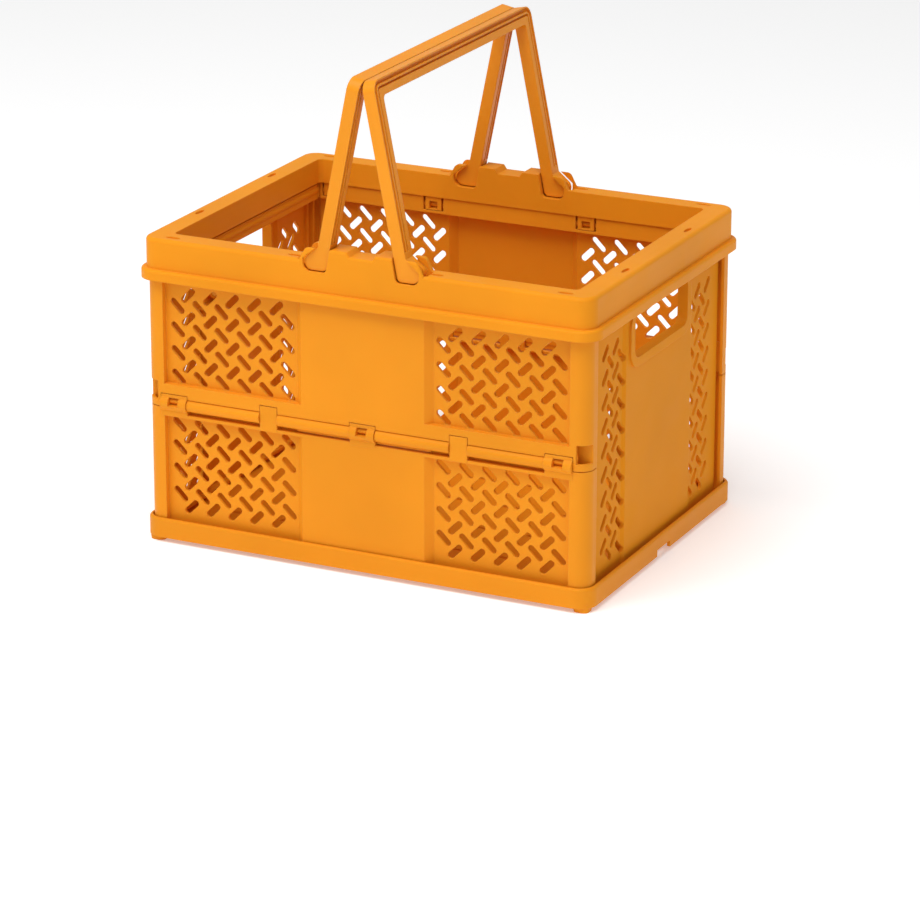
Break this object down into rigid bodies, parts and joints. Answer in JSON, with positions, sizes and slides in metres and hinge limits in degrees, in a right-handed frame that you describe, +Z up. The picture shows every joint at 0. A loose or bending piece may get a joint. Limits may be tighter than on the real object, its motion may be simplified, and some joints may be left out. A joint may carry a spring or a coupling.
{
  "type": "folding stacking crate",
  "caption": "Folding plastic stacking crate with slotted walls, hand-holes and two swinging bail handles raised over the rim.",
  "frame": {"origin": "bottom centre, on the floor under the feet", "axes": "+X along the crate's length to the right end, +Y along the width to the back, +Z up"},
  "size_m": [0.368, 0.2752, 0.3714],
  "materials": {
    "orange_plastic": "satin moulded"
  },
  "bodies": {
    "crate": {"rim_frame": "orange_plastic", "base_tray": "orange_plastic", "front_upper_panel": "orange_plastic", "front_lower_panel": "orange_plastic", "back_upper_panel": "orange_plastic", "back_lower_panel": "orange_plastic"},
    "wall_left": {"end_wall_left": "orange_plastic"},
    "wall_right": {"end_wall_right": "orange_plastic"},
    "bail_left": {"handle_left": "orange_plastic"},
    "bail_right": {"handle_right": "orange_plastic"}
  },
  "joints": [
    {"name": "end_wall_left_swing", "type": "hinge", "parent": "crate", "child": "wall_left", "pos_m": [-0.168, 0, 0.209], "axis": [0, -1, 0], "range_deg": [0, 90]},
    {"name": "end_wall_right_swing", "type": "hinge", "parent": "crate", "child": "wall_right", "pos_m": [0.168, 0, 0.209], "axis": [0, 1, 0], "range_deg": [0, 82]},
    {"name": "handle_left_swing", "type": "hinge", "parent": "crate", "child": "bail_left", "pos_m": [-0.0399, 0, 0.2329], "axis": [0, -1, 0], "range_deg": [0, 101.3]},
    {"name": "handle_right_swing", "type": "hinge", "parent": "crate", "child": "bail_right", "pos_m": [0.0399, 0, 0.2329], "axis": [0, 1, 0], "range_deg": [0, 101.3]}
  ]
}
